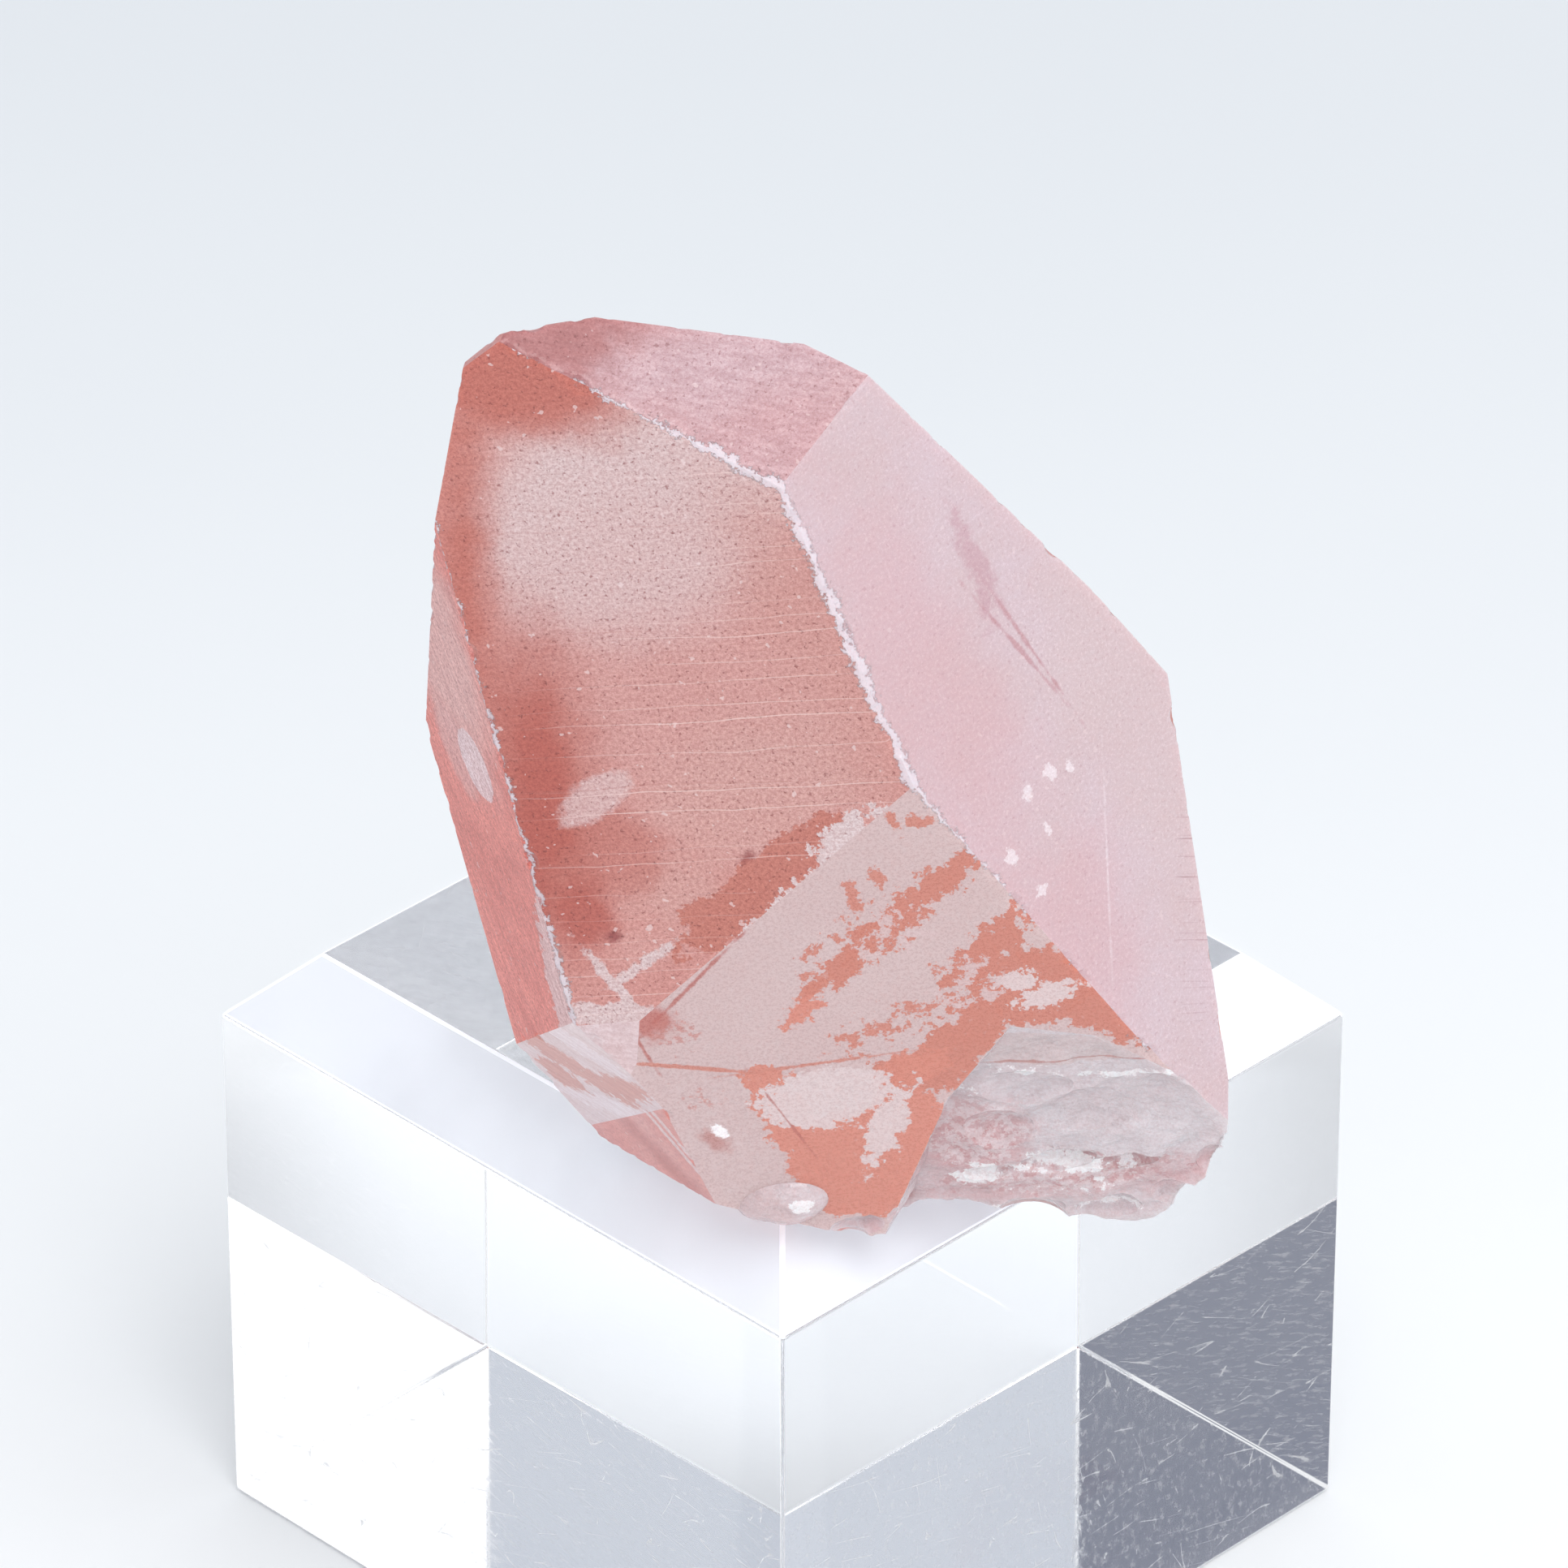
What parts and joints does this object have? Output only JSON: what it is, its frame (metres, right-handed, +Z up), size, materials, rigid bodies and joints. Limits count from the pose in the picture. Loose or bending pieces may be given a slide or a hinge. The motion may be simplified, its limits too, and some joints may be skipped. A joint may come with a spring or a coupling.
{
  "type": "quartz crystal",
  "caption": "Natural quartz crystal with flat slanting faces, standing on a clear bevelled display block.",
  "frame": {"origin": "centre of the display block's underside, on the surface it stands on", "axes": "+Z up; the block's sides face along X and Y, and the crystal's widest face looks to the corner at +X and -Y"},
  "size_m": [0.0517, 0.048, 0.081],
  "materials": {
    "quartz": "red to pale pink quartz, satin faces with fine striations, frosty chipped edges and one glassy break",
    "clear_acrylic": "polished clear acrylic"
  },
  "bodies": {
    "root": {"crystal": "quartz", "display_block": "clear_acrylic"}
  },
  "joints": []
}
